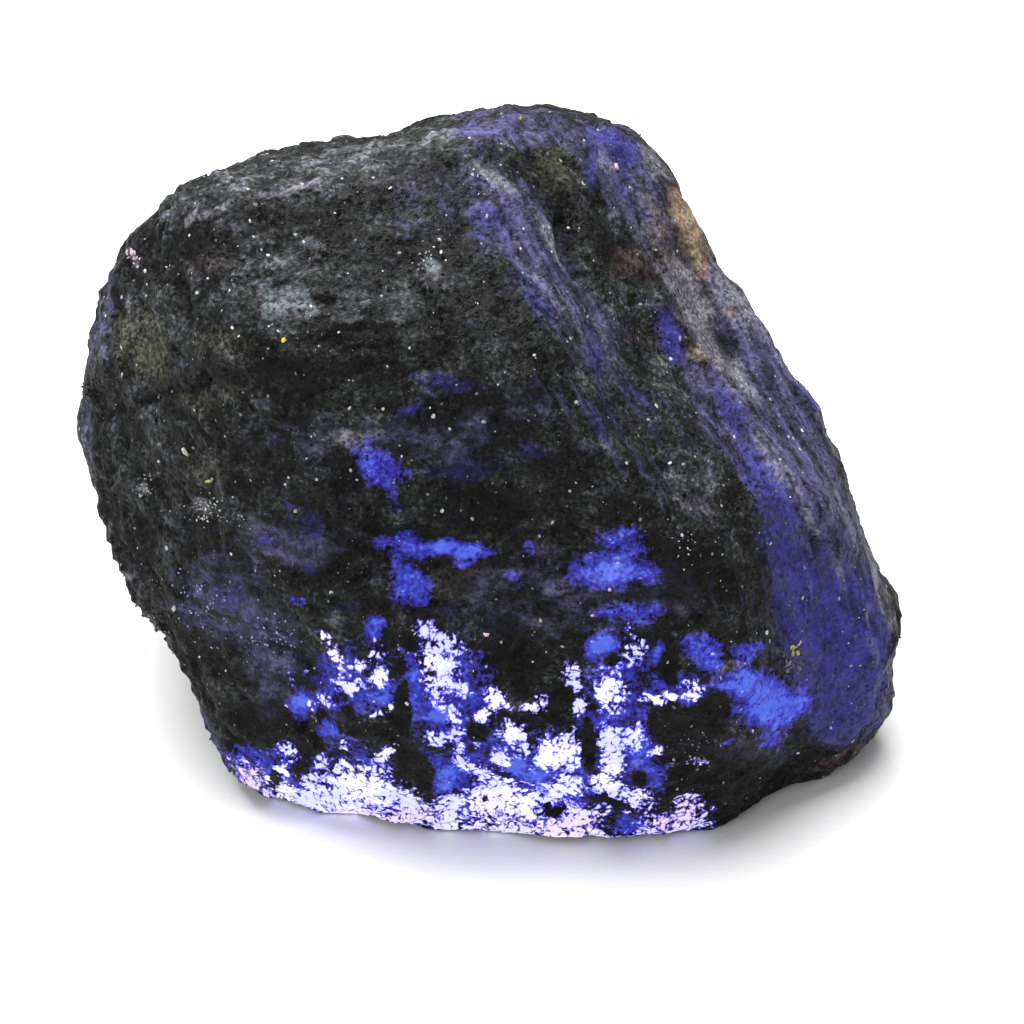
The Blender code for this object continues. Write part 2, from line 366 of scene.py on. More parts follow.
# Pale lavender-grey streaks, where the stone is worn, and in places painted sheen: the streaks of the
# top band and of the slope.
PALE_AND_SHEEN = {
    "ridge streak": (492, 178, 46, 9, 34, 0.75),
    "ridge streak, low": (548, 240, 44, 8, 60, 0.7),
    "band beside the ridge": (540, 282, 80, 14, 54, 0.5),
    "band beside the ridge, low": (584, 336, 34, 10, 58, 0.4),
    "crest": (716, 352, 90, 17, 51, 0.95),
    "crest, low": (772, 462, 66, 13, 55, 0.6),
    "edge streak": (883, 601, 48, 7, 74, 0.85),
    "hook": (809, 521, 30, 6, 58, 0.8),
    "upper right streaks": (730, 296, 60, 18, 56, 0.8),
    "under the tan edge": (684, 288, 56, 24, 56, 0.8),
    "top right rim": (600, 156, 30, 9, 60, 0.5),
    "upper right rim": (657, 164, 36, 14, 54, 0.8),
    "right of the crest": (780, 340, 70, 16, 60, 0.64),
    "lavender fleck": (747, 303, 18, 10, 50, 0.5),
    "grey end of the lavender patch": (352, 443, 24, 15, 20, 0.8),
    "top left streak": (300, 186, 60, 6, -14, 0.6),
    "top left streak, high": (330, 160, 80, 8, -8, 0.4),
    "top left streak, low": (200, 214, 34, 7, -28, 0.6),
    "spot at the rim": (617, 168, 7, 6, 0, 0.9),
    "streak in the front": (398, 182, 60, 7, -10, 0.45),
    "slope streak": (696, 506, 50, 14, 12, 0.45),
    "slope streak, high": (700, 470, 46, 8, 30, 0.3),
    "right face streak": (846, 590, 84, 7, 74, 0.5),
    "right face streak, right": (872, 640, 60, 6, 82, 0.5),
    "right face streak, left": (812, 600, 80, 7, 76, 0.36),
    "right wall streak": (840, 500, 60, 9, 66, 0.5),
    "rim at the knob": (868, 540, 44, 8, 66, 0.5),
    "left crystal": (132, 256, 12, 7, 60, 0.9),
    "left edge, low": (128, 577, 13, 6, 50, 0.6),
    "left grains": (204, 508, 20, 9, 30, 0.6),
    "left edge grains": (143, 486, 15, 8, 60, 0.6),
    "left shoulder": (150, 420, 26, 10, 20, 0.34),
    "right of the middle": (690, 545, 16, 9, 70, 0.46),
    "top band": (250, 196, 80, 9, -18, 0.4),
    "top band, right": (372, 150, 60, 9, -8, 0.4),
    "lavender grains": (268, 640, 22, 14, 40, 0.4),
}

# Dusty grey rock, lighter than the rest, and painted sheen: the top band, the upper front, the
# shoulder and the slopes are lighter where light falls on them from above.
DUST_AND_SHEEN = {
    "top band": (280, 180, 200, 34, -15, 1.0),
    "top band, middle": (330, 166, 120, 18, -12, 1.0),
    "top band, right": (440, 140, 90, 26, -12, 0.9),
    "upper front": (270, 290, 120, 60, 0, 0.6),
    "upper front, right": (410, 290, 50, 40, 0, 0.5),
    "left shoulder": (150, 340, 60, 60, 0, 0.6),
    "left wall": (160, 470, 80, 60, 0, 0.3),
    "front, right": (640, 470, 90, 50, 20, 0.4),
    "slope": (640, 330, 120, 60, 55, 0.55),
    "upper slope": (610, 210, 80, 60, 55, 0.5),
    "below the slope": (740, 500, 70, 40, 20, 0.6),
    "front, bottom of the hollow": (520, 690, 20, 20, 0, 0.3),
}

# Grey-blue crust.
CRUST = {
    "upper front": (288, 303, 38, 23, 0, 0.82),
    "upper front, right": (346, 318, 26, 13, 10, 0.5),
    "upper front, high": (320, 246, 27, 10, -5, 0.5),
    "clump": (433, 266, 19, 9, 80, 0.85),
    "clump, low": (400, 320, 15, 11, 0, 0.55),
    "haze at the left": (336, 622, 17, 14, 0, 0.6),
    "top left": (172, 232, 11, 6, 0, 0.5),
    "upper left": (240, 205, 60, 28, -18, 0.26),
}

# Olive stone.
OLIVE = {
    "left shoulder": (142, 345, 50, 34, 85, 0.8),
    "left shoulder, right": (225, 345, 50, 22, 10, 0.45),
    "left shoulder, low": (205, 400, 50, 18, -10, 0.45),
    "top": (555, 166, 42, 30, 85, 0.5),
    "eye": (452, 585, 30, 24, 0, 0.75),
    "left": (200, 470, 40, 26, 0, 0.35),
}

# Tan and reddish stain.
TAN = {
    "upper right edge": (688, 222, 50, 15, 66, 0.9),
    "upper right edge, low": (699, 262, 20, 11, 80, 0.66),
    "upper right edge, haze": (668, 240, 60, 26, 66, 0.34),
    "beside the crest": (699, 353, 16, 10, 45, 0.5),
    "brown spot": (726, 311, 12, 9, 40, 0.55),
}
RUST = {
    "top": (632, 262, 40, 26, 20, 0.5),
    "below the ridge": (640, 330, 20, 16, 0, 0.36),
    "lower right edge": (842, 757, 38, 7, -24, 0.8),
    "low hollow": (502, 775, 14, 7, 0, 0.4),
    "upper left": (210, 260, 40, 20, -20, 0.3),
}

# Dark stone and painted shade: black hollows and gaps where no light comes through, and painted shade
# in the creases, under the top band and the crust, and on the darker front faces.
DARK_AND_SHADE = {
    "eye": (453, 582, 28, 21, 0, 0.7),
    "left column": (404, 735, 62, 13, 84, 1.0),
    "left column, foot": (424, 772, 20, 11, 60, 0.85),
    "hollow": (522, 657, 36, 26, 0, 1.0),
    "hollow, top": (500, 628, 34, 14, 0, 0.6),
    "hollow, point": (521, 690, 12, 15, 0, 0.9),
    "right hollow": (672, 726, 30, 22, 0, 1.0),
    "right hollow, beside": (713, 711, 24, 24, 0, 1.0),
    "right foot": (735, 780, 66, 22, -6, 1.0),
    "right foot, left": (690, 772, 20, 14, 0, 0.8),
    "right column's gap": (591, 745, 36, 8, 88, 1.0),
    "gap beside the pickets": (559, 694, 13, 12, 0, 0.9),
    "gap under the oval": (556, 719, 13, 9, 0, 0.9),
    "left hollow": (258, 716, 42, 20, 0, 0.9),
    "left hollow, right": (308, 742, 14, 16, 80, 0.8),
    "under the left field": (360, 730, 26, 10, 0, 0.8),
    "left of the field": (300, 652, 22, 10, 80, 0.6),
    "left gap": (351, 712, 12, 14, 0, 0.5),
    "corner gap": (275, 780, 14, 6, 80, 0.7),
    "beside the upper crest": (728, 342, 24, 14, 60, 0.8),
    "oval": (772, 378, 22, 12, 60, 0.8),
    "knob": (893, 603, 46, 12, 76, 1.0),
    "hole": (476, 731, 14, 13, 70, 1.0),
    "low right": (806, 742, 26, 18, 80, 0.8),
    "low gap": (610, 803, 18, 7, 15, 0.95),
    "low gap, left": (505, 775, 14, 6, 0, 0.8),
    "low gap, middle": (552, 807, 15, 7, 10, 0.85),
    "low gap, right": (640, 776, 10, 12, 0, 0.95),
    "left crease": (162, 394, 60, 8, -19, 0.6),
    "left crease, right": (256, 366, 50, 10, -12, 0.36),
    "front crease": (330, 372, 100, 16, -6, 0.5),
    "front, middle": (480, 500, 120, 40, 0, 0.5),
    "front, right": (700, 570, 70, 44, 20, 0.6),
    "front, high": (470, 340, 60, 40, 0, 0.36),
    "front, left": (330, 570, 60, 40, 0, 0.4),
    "lower left": (190, 690, 50, 30, 60, 0.4),
    "ring": (612, 662, 10, 10, 0, 0.8),
    "beside the arm": (404, 640, 22, 12, 40, 0.85),
    "right of the right column": (668, 668, 26, 12, 80, 0.7),
    "hollow, right": (655, 630, 60, 9, 0, 0.4),
    "over the violet band": (640, 597, 60, 7, 0, 0.6),
    "ridge crack": (568, 246, 30, 5, 70, 0.6),
    "upper slope": (600, 240, 60, 14, 60, 0.34),
    "under the top band": (290, 224, 130, 7, -12, 0.55),
    "under the crust": (330, 340, 70, 6, 0, 0.6),
    "left grains": (86, 390, 14, 7, 90, 0.8),
    "left notch": (160, 620, 26, 12, 40, 0.9),
    "left wall": (150, 540, 70, 50, 40, 0.34),
}

# Cracks in the surface: how deep each is, and its line in pixels.
CRACKS = {
    "beside the ridge": (0.9, ((560, 220), (567, 256), (579, 276))),
    "in the front": (0.7, ((419, 284), (436, 308), (438, 326))),
    "left crease": (0.4, ((98, 417), (132, 409), (164, 394), (196, 388), (222, 370))),
    "below the hook": (0.9, ((800, 508), (812, 530), (822, 552))),
    "under the eye": (0.6, ((428, 600), (452, 606), (478, 600))),
}
CRACK_HALF_WIDTH = 4.5

# Small grains that stick in the surface everywhere: how many, and the half size of the smallest
# and of the largest in mm. None sits lower over the floor than given here, and large ones are few.
SCATTERED = {
    # The bright grains are whitish grains that stand in for glints: painted highlights in their
    # colour.
    "glint_grains": (560, 0.05, 0.14),
    "dark_grains": (900, 0.10, 0.22),
    "grey_grains": (2400, 0.06, 0.20),
}
LOWEST_GRAIN = 1.5
FEW_LARGE = 3

# Clusters of grains: middle, spread across and down in pixels, how many, largest half size, kind.
CLUSTERS = {
    "left edge, sparkling": (143, 486, 7, 12, 34, 0.15, "pale_grains"),
    "left, sparkling": (203, 508, 14, 9, 44, 0.16, "pale_grains"),
    "left, sparkling, below": (208, 516, 12, 4, 16, 0.16, "glint_grains"),
    "left, lower": (237, 521, 5, 5, 12, 0.16, "pale_grains"),
    "left foot": (268, 640, 44, 30, 60, 0.18, "lavender_grains"),
    "left notch": (200, 600, 44, 34, 44, 0.18, "lavender_grains"),
    "pink crystal": (132, 256, 6, 4, 18, 0.30, "rosy_grains"),
    "left rim, dark": (86, 389, 6, 9, 30, 0.42, "dark_grains"),
    "notch, dark": (160, 620, 20, 16, 44, 0.34, "dark_grains"),
    "right of the middle": (688, 545, 16, 22, 14, 0.16, "pale_grains"),
    "upper front": (425, 258, 9, 16, 18, 0.18, "pale_grains"),
    "ridge, high": (480, 184, 26, 14, 9, 0.15, "glint_grains"),
    "low left edge": (240, 774, 22, 12, 40, 0.24, "lavender_grains"),
    "pebbles": (795, 668, 10, 6, 18, 0.36, "grey_grains"),
    "pebbles, yellowish": (797, 648, 5, 3, 7, 0.36, "olive_grains"),
    "low right": (700, 745, 34, 18, 26, 0.14, "lavender_grains"),
    "under the right hollow": (690, 764, 22, 4, 20, 0.22, "lavender_grains"),
}

# The smallest grain of a cluster, as a share of its largest.
SMALLEST_SHARE = 0.4

# Single grains of each kind: the pixel and the half size in mm.
SINGLES = {
    # The bright grains here are painted glints.
    "glint_grains": {
        "ring": (141, 272, 0.24),
        "left": (168, 549, 0.34),
        "over the pebbles": (768, 631, 0.32),
        "over the pebbles, low": (773, 638, 0.28),
        "low right": (853, 745, 0.26),
        "lower right": (832, 732, 0.26),
        "under the sky patch": (794, 757, 0.28),
        "in the sky patch": (755, 731, 0.26),
        "on the slope": (774, 401, 0.24),
        "by the ridge": (490, 216, 0.28),
        "by the ridge, right": (524, 226, 0.20),
        "by the crack": (567, 229, 0.20),
        "under the crack": (590, 315, 0.20),
        "front": (533, 354, 0.24),
        "upper front": (435, 237, 0.26),
        "upper front, left": (388, 189, 0.22),
        "left top": (253, 216, 0.24),
        "left top, low": (253, 235, 0.24),
        "left rim": (164, 267, 0.22),
        "left shoulder": (123, 375, 0.24),
        "under the crust": (333, 329, 0.28),
        "beside the arm": (374, 640, 0.30),
        "in the black column": (404, 700, 0.28),
    },
    "grey_grains": {
        "pebble": (788, 664, 0.50),
        "pebble, right": (801, 668, 0.46),
    },
    "pale_grains": {
        "left": (187, 451, 0.58),
        "left, grey": (175, 610, 0.40),
        "in the top band": (303, 181, 0.40),
    },
    "golden_grains": {
        "top": (525, 116, 0.34),
        "upper front": (281, 340, 0.38),
    },
    "olive_grains": {
        "left": (206, 480, 0.56),
        "left, small": (299, 516, 0.36),
        "pebble": (797, 649, 0.50),
    },
    "rosy_grains": {
        "left": (153, 462, 0.36),
        "near the rim": (617, 168, 0.46),
        "front": (485, 633, 0.28),
    },
}

# The colour and the roughness of each kind of grain.
GRAIN_LOOKS = {
    # The bright grains' whitish colour is a painted highlight for glints.
    "glint_grains": ((182, 182, 190), 0.30),
    "dark_grains": ((24, 24, 25), 0.60),
    "grey_grains": ((86, 86, 92), 0.50),
    "lavender_grains": ((150, 142, 186), 0.40),
    "pale_grains": ((164, 168, 160), 0.40),
    "golden_grains": ((214, 176, 48), 0.40),
    "olive_grains": ((150, 148, 84), 0.45),
    "rosy_grains": ((206, 182, 194), 0.35),
}

# The shape of a grain: its width and thickness as shares of its length, how far each corner may
# stand in or out, how far it may turn, and how far in mm it may lie beside a point of the skin.
# They are made a batch at a time, which is quicker.
GRAIN_WIDTH = (0.5, 1.0)
GRAIN_THICKNESS = (0.3, 0.7)
GRAIN_CORNERS = (0.6, 1.25)
GRAIN_TURN = 6.28
GRAIN_SHIFT = 0.4
GRAINS_AT_ONCE = 120
CHANCE_SEED = 5

# A grain may sit this many pixels from the pixel given for it, and each pixel more counts as if it
# were this many mm farther off.
NEAR_PIXELS = 4.0
FAR_PENALTY = 1e3

# Each kind of patch: its places in view, then its size in mm and how common it is out of view.
PATCHES = {
    "white_light": (WHITE_LIGHT, 3.0, -1.4),
    "blue_light": (BLUE_LIGHT, 7.0, -1.4),
    "rosy": (ROSY, 9.0, -0.60),
    "deep_blue": (DEEP_BLUE, 7.0, -0.30),
    "haze": (HAZE, 13.0, -0.05),
    "pale": (PALE_AND_SHEEN, 5.0, -0.42),
    "dust": (DUST_AND_SHEEN, 16.0, 0.10),
    "crust": (CRUST, 7.5, -0.40),
    "olive": (OLIVE, 12.0, -0.26),
    "tan": (TAN, 9.0, -0.68),
    "rust": (RUST, 6.0, -0.55),
    "dark": (DARK_AND_SHADE, 9.0, -0.10),
}
UNSEEN_CONTRAST = 1.6

# Noises of the finish: the size of their swellings in mm, their detail and their roughness. Then
# how far the streaks are drawn out, and the ragged noise from side to side.
FINE = (0.42, 2.0, 0.6)
RAGGED = (1.7, 3.5, 0.64)
STREAKS = (1.2, 3.0, 0.62)
BROAD = (6.0, 2.0, 0.6)
BUMPS = (0.8, 3.0, 0.66)
STREAK_LENGTH = 9.0
LAYERED = (0.55, 1.0, 1.0)

# Cells of the finish, in mm: small grains, lumps of grains, the bends of their edges and how far
# these reach. Then how far each small grain tilts, and the height in mm of the finest bumps.
GRAIN_CELL = 0.50
LUMP_CELL = 0.95
CELL_BENDS = 0.9
CELL_BEND_REACH = 0.5
FACET_TILT = 0.34
BUMP_HEIGHT = 0.45

# How much each pattern lightens or darkens the rock, the white light and the blue light.
ROCK_SWAY = {"ragged": 0.90, "fine": 0.90, "broad": 0.60, "tone": 0.16}
WHITE_SWAY = {"tone": 0.60, "fine": 2.20, "ragged": 0.50}
BLUE_SWAY = {"ragged": 1.3, "speckle": 0.9, "lump": 0.22}

# Colours, as they show, from the darkest rock to the lightest and from no light to the strongest.
ROCK_TONES = (
    (0.26, (7, 7, 7)),
    (0.42, (20, 20, 20)),
    (0.55, (36, 37, 37)),
    (0.70, (64, 65, 68)),
    (0.90, (112, 113, 118)),
)
WHITE_TONES = (
    (0.26, (0, 0, 0)),
    (0.38, (30, 18, 98)),
    (0.54, (76, 64, 192)),
    (0.72, (166, 162, 238)),
    (0.92, (255, 255, 255)),
)
BLUE_TONES = (
    (0.30, (0, 0, 0)),
    (0.37, (24, 18, 74)),
    (0.52, (40, 36, 138)),
    (0.76, (52, 60, 186)),
    (1.00, (80, 102, 228)),
)
COOL_WHITE = (226, 228, 254)
WARM_WHITE = (255, 255, 248)
ROSY_WHITE = (240, 218, 244)
# Black for the dark patches, which carry painted shade.
DARK_AND_SHADE_BLACK = (8, 8, 7)
# Black for the painted shade in small pits.
PIT_SHADE_BLACK = (6, 6, 7)
# White for painted glints on a few small grains.
GLINT_WHITE = (196, 195, 204)

# Kinds of stone over the rock, from the lowest: the pattern that breaks its edges and how much,
# where it begins and where it is full, its most, and the pattern between its deep and light colour.
KINDS = {
    "olive": ("ragged", 0.8, 0.15, 0.75, 0.60, "speckle", (36, 37, 30), (96, 97, 82)),
    "haze": ("streaks", 1.3, 0.10, 1.00, 0.80, "streaked grain", (26, 25, 44), (98, 96, 138)),
    "deep_blue": ("streaks", 1.1, 0.10, 1.00, 0.90, "ragged grain", (26, 26, 76), (62, 61, 150)),
    "crust": ("ragged", 1.2, 0.22, 0.80, 0.85, "speckle", (56, 61, 64), (112, 119, 122)),
    "rust": ("ragged", 0.9, 0.15, 0.75, 0.50, "speckle", (46, 34, 32), (98, 76, 72)),
    # The pale patches carry painted sheen as well as worn stone.
    "pale": ("streaks", 1.3, 0.22, 1.00, 0.74, "speckle", (84, 82, 94), (148, 146, 156)),
    "tan": ("ragged", 0.9, 0.10, 0.95, 0.80, "fine", (116, 100, 86), (170, 148, 124)),
}


def camera_axes():
    """Right, up and forward of the camera."""
    rise = math.radians(CAMERA_RISE)
    forward = Vector((0.0, math.cos(rise), -math.sin(rise)))
    right = Vector((1.0, 0.0, 0.0))
    return right, right.cross(forward), forward


def in_photo(places):
    """The pixel at which each place, in mm, shows."""
    right, up, forward = (np.array(axis) for axis in camera_axes())
    away = places - np.array(CAMERA_TARGET)
    depth = CAMERA_DISTANCE + away @ forward
    focal = FRAME_PIXELS * LENS / SENSOR
    across = FRAME_PIXELS / 2 + focal * (away @ right) / depth
    down = FRAME_PIXELS / 2 - focal * (away @ up) / depth
    return np.stack([across, down], axis=1)


def ramp(value, start, end):
    """0 up to start, 1 from end on, and a smooth climb between."""
    share = np.clip((value - start) / (end - start), 0.0, 1.0)
    return share * share * (3.0 - 2.0 * share)


def facing_camera(places, looks):
    """0 where the stone faces away from the camera, 1 where it plainly faces it."""
    forward = camera_axes()[2]
    eye = np.array(CAMERA_TARGET - CAMERA_DISTANCE * forward)
    toward = eye - places
    toward /= np.linalg.norm(toward, axis=1)[:, None]
    return ramp((looks * toward).sum(axis=1), HIDDEN, PLAIN)


def read(points, field):
    values = np.empty(len(points) * 3, np.float32)
    points.foreach_get(field, values)
    return values.reshape(-1, 3).astype(float)


def noise_at(places, size, shift):
    """Soft noise from about -0.7 to 0.7 at each place, with swellings of the given size."""
    shift = Vector((shift, 2.0 * shift, -shift))
    return np.array([noise.noise(Vector(place) / size + shift) for place in places])


def in_patches(pixels, patches):
    """How much of the patches each pixel has: their strength at the middle, fading softly outwards."""
    missing = np.ones(len(pixels))
    for across, down, length, width, tilt, strength in patches.values():
        turn = math.radians(tilt)
        away = pixels - (across, down)
        lengthwise = away @ (math.cos(turn), math.sin(turn)) / length
        crosswise = away @ (-math.sin(turn), math.cos(turn)) / width
        reach = (lengthwise**2 + crosswise**2) / PATCH_REACH
        missing *= 1.0 - strength * np.exp(-(reach**PATCH_EDGE))
    return 1.0 - missing


def to_line(pixels, line):
    """The distance of each pixel from a line through several points."""
    nearest = np.full(len(pixels), math.inf)
    for start, end in zip(np.array(line, float), np.array(line[1:], float)):
        run = end - start
        share = np.clip((pixels - start) @ run / (run @ run), 0.0, 1.0)
        gap = np.linalg.norm(pixels - start - share[:, None] * run, axis=1)
        nearest = np.minimum(nearest, gap)
    return nearest


def added(name, data):
    """A new object in the scene, made from a mesh, a camera or a light."""
    thing = bpy.data.objects.new(name, data)
    bpy.context.scene.collection.objects.link(thing)
    return thing


def even_skin(solid):
    """A fine even mesh over the solid, with the solid's own facets softened away."""
    skin = bmesh.new()
    skin.from_mesh(solid.data)
    bmesh.ops.remove_doubles(skin, verts=skin.verts[:], dist=WELD_DISTANCE * MM)
    mesh = bpy.data.meshes.new("skin")
    skin.to_mesh(mesh)
    skin.free()
    thing = added("stone_skin", mesh)
    remesh = thing.modifiers.new("even cells", "REMESH")
    remesh.mode = "VOXEL"
    remesh.voxel_size = SKIN_CELL * MM
    soften = thing.modifiers.new("soft facets", "SMOOTH")
    soften.factor = SOFTENING_STRENGTH
    soften.iterations = SOFTENING_ROUNDS
    graph = bpy.context.evaluated_depsgraph_get()
    made = bpy.data.meshes.new_from_object(thing.evaluated_get(graph))
    thing.modifiers.clear()
    thing.data = made
    made.name = "stone_skin"
    return thing


def grain_height(place):
    """Grains of rock: each stands a little higher or lower, with a groove between it and the next."""
    height = 0.0
    for size, rise in ROCK_GRAINS:
        near, points = noise.voronoi(place / size)
        stand = noise.cell(points[0] * GRAIN_PICK)
        edge = min((near[1] - near[0]) / GROOVE_WIDTH, 1.0)
        height += rise * (stand - 0.5) * edge - GROOVE_DEPTH * rise * (1.0 - edge)
    return height


def pit_height(place):
    spacing, depth = PITS
    near, points = noise.voronoi(place / spacing)
    if noise.cell(points[0] * PIT_PICK) < PIT_FREE:
        return 0.0
    return -depth * max(1.0 - near[0] / PIT_REACH, 0.0)


def ledge_height(place):
    """Level patches joined by short steep steps."""
    height = 0.0
    for size, count, step in LEDGES:
        value = count * noise.noise(place / size + Vector((size, 0.0, LEDGE_SHIFT)))
        below = math.floor(value)
        share = min(max((value - below - CLIMB_START) / CLIMB_SHARE, 0.0), 1.0)
        height += step * (below + share * share * (3.0 - 2.0 * share) - value)
    return height


def striae_height(place):
    """Fine and broad ridges that run down the slope."""
    bend_size, bend_reach = STRIA_BEND
    across = place.dot(STRIA_SIDE) + bend_reach * noise.noise(place / bend_size)
    down = place.dot(STRIA_RUN)
    height = 0.0
    for width, length, shift, rise in STRIAE:
        height += rise * noise.noise(Vector((across / width, down / length, shift)))
    return height


def relief(place, look):
    """How far the rough surface stands above the softened one."""
    slope = min(max(look.dot(SLOPE_LOOK), 0.0) * SLOPE_SPREAD, 1.0) ** SLOPE_EDGE
    bend_size, bend_reach = BENDS
    bent = place + bend_reach * noise.noise_vector(place / bend_size)
    size, rise = SWELLINGS
    height = rise * noise.fractal(place / size, *SWELLING_DETAIL)
    height += (grain_height(bent) + pit_height(bent)) * (1.0 - WORN_GRAINS * slope)
    height += ledge_height(bent) * (1.0 - WORN_LEDGES * slope)
    size, rise = CRAGS
    crag = 0.5 - noise.turbulence(bent / size, CRAG_DETAIL, True)
    height += rise * crag * (1.0 - WORN_CRAGS * slope)
    return height + slope * striae_height(place)


def crack_depth(pixels):
    depth = np.zeros(len(pixels))
    for deep, line in CRACKS.values():
        depth += deep * np.exp(-((to_line(pixels, line) / CRACK_HALF_WIDTH) ** 2))
    return depth


def keep(mesh, name, values):
    """Stores a number for each point of the skin, for the material to read."""
    store = mesh.attributes.new(name, "FLOAT", "POINT")
    store.data.foreach_set("value", values.astype(np.float32))


def set_inside(mesh, corners, box):
    """Moves the points of a mesh to corners, in metres, and keeps all of them inside the box."""
    corners = np.clip(corners, np.array(box[0]), np.array(box[1]))
    mesh.vertices.foreach_set("co", corners.astype(np.float32).ravel())


def roughen(mesh, box):
    """Moves each point of the skin along its normal."""
    places = read(mesh.vertices, "co") / MM
    looks = read(mesh.vertices, "normal")
    heights = np.array([relief(Vector(place), Vector(look)) for place, look in zip(places, looks)])
    heights -= crack_depth(in_photo(places)) * facing_camera(places, looks)
    heights *= ramp(places[:, 2], 0.0, FLOOR_FADE)
    # The relief height, kept for painted shade: the rock is drawn lighter on raised places and darker
    # in low ones.
    keep(mesh, "painted_relief_shade", np.clip(0.5 + 0.5 * heights, 0.0, 1.0))
    set_inside(mesh, (places + looks * heights[:, None]) * MM, box)
    mesh.update()


def paint(mesh):
    """Gives each point of the skin, for each kind of patch, how much of it shows there."""
    places = read(mesh.vertices, "co") / MM
    looks = read(mesh.vertices, "normal")
    front = facing_camera(places, looks)
    pixels = in_photo(places)
    for size, *shifts in WANDERS:
        bends = np.stack([noise_at(places, size, shift) for shift in shifts], axis=1)
        pixels = pixels + WANDER_PIXELS * bends
    for name, (patches, size, amount) in PATCHES.items():
        unseen = UNSEEN_CONTRAST * noise_at(places, size, float(len(name))) + amount
        share = front * in_patches(pixels, patches) + (1.0 - front) * np.clip(unseen, 0.0, 1.0)
        keep(mesh, name, share)
    keep(mesh, "striated", ramp(looks @ np.array(SLOPE_LOOK), *STRIATED))


def rough_stone(solid, box):
    thing = even_skin(solid)
    roughen(thing.data, box)
    paint(thing.data)
    for face in thing.data.polygons:
        face.use_smooth = True
    return thing


def add_grain(pieces, place, half, chance):
    """One small crooked grain, half sunk in the surface."""
    turn = Euler([chance.uniform(0.0, GRAIN_TURN) for axis in range(3)]).to_matrix().to_4x4()
    width, thickness = chance.uniform(*GRAIN_WIDTH), chance.uniform(*GRAIN_THICKNESS)
    shape = Matrix.Diagonal((half * MM, half * width * MM, half * thickness * MM, 1.0))
    made = bmesh.ops.create_icosphere(pieces, subdivisions=1, radius=1.0)["verts"]
    for corner in made:
        corner.co *= chance.uniform(*GRAIN_CORNERS)
    bmesh.ops.transform(pieces, matrix=Matrix.Translation(place * MM) @ turn @ shape, verts=made)


def beside(place, look, chance):
    """A spot on the surface a little to the side of a point of the skin."""
    shift = Vector([chance.uniform(-GRAIN_SHIFT, GRAIN_SHIFT) for axis in range(3)])
    return place + shift - shift.dot(look) * look


def nearest_point(pixels, depths, across, down):
    """The point of the skin that shows at a pixel: the nearest to the camera of those close by."""
    gap = np.hypot(pixels[:, 0] - across, pixels[:, 1] - down)
    return int(np.argmin(depths + FAR_PENALTY * np.maximum(gap - NEAR_PIXELS, 0.0)))


def placed_grains(places, chance):
    """For each kind of grain, the point of the skin where each one sits and its half size."""
    pixels = in_photo(places)
    depths = (places - np.array(CAMERA_TARGET)) @ np.array(camera_axes()[2])
    above_floor = np.flatnonzero(places[:, 2] > LOWEST_GRAIN)
    grains = {kind: [] for kind in GRAIN_LOOKS}
    for kind, (count, smallest, largest) in SCATTERED.items():
        for number in range(count):
            half = smallest + (largest - smallest) * chance.random() ** FEW_LARGE
            grains[kind].append((chance.choice(above_floor), half))
    for across, down, wide, high, count, largest, kind in CLUSTERS.values():
        for number in range(count):
            pixel = (chance.gauss(across, wide / 2.0), chance.gauss(down, high / 2.0))
            point = nearest_point(pixels, depths, *pixel)
            grains[kind].append((point, chance.uniform(SMALLEST_SHARE, 1.0) * largest))
    for kind, singles in SINGLES.items():
        for across, down, half in singles.values():
            grains[kind].append((nearest_point(pixels, depths, across, down), half))
    return grains


def make_grains(skin, box):
    """One joined mesh for each kind of grain."""
    chance = random.Random(CHANCE_SEED)
    places = read(skin.vertices, "co") / MM
    looks = read(skin.vertices, "normal")
    things = []
    for kind, spots in placed_grains(places, chance).items():
        mesh = bpy.data.meshes.new(kind)
        for start in range(0, len(spots), GRAINS_AT_ONCE):
            pieces = bmesh.new()
            for point, half in spots[start:start + GRAINS_AT_ONCE]:
                spot = beside(Vector(places[point]), Vector(looks[point]), chance)
                add_grain(pieces, spot, half, chance)
            pieces.from_mesh(mesh)
            pieces.to_mesh(mesh)
            pieces.free()
        set_inside(mesh, read(mesh.vertices, "co"), box)
        colour, rough = GRAIN_LOOKS[kind]
        mesh.materials.append(plain_material(kind, seen(*colour), rough))
        things.append(added(kind, mesh))
    return things


def seen(red, green, blue):
    """The linear colour that shows as this red, green and blue, each from 0 to 255."""
    linear = []
    for share in (red / 255.0, green / 255.0, blue / 255.0):
        linear.append(share / 12.92 if share <= 0.04045 else ((share + 0.055) / 1.055) ** 2.4)
    return (*linear, 1.0)


def new_material(name):
    material = bpy.data.materials.new(name)
    material.use_nodes = True
    return material, material.node_tree.nodes["Principled BSDF"]


def plain_material(name, colour, roughness):
    material, shader = new_material(name)
    shader.inputs["Base Color"].default_value = colour
    shader.inputs["Roughness"].default_value = roughness
    return material


def feed(tree, socket, value):
    """Gives a socket a value, or links it to the output that has one."""
    if isinstance(value, bpy.types.NodeSocket):
        tree.links.new(value, socket)
    else:
        socket.default_value = value


def add(tree, kind, inputs=None, **settings):
    """A new node with its settings, and for each input a value or the output that feeds it."""
    node = tree.nodes.new(kind)
    for name, value in settings.items():
        setattr(node, name, value)
    for name, value in (inputs or {}).items():
        feed(tree, node.inputs[name], value)
    return node


def work(tree, operation, *values):
    """The result of some arithmetic on numbers."""
    node = add(tree, "ShaderNodeMath", operation=operation)
    for socket, value in zip(node.inputs, values):
        feed(tree, socket, value)
    return node.outputs["Value"]


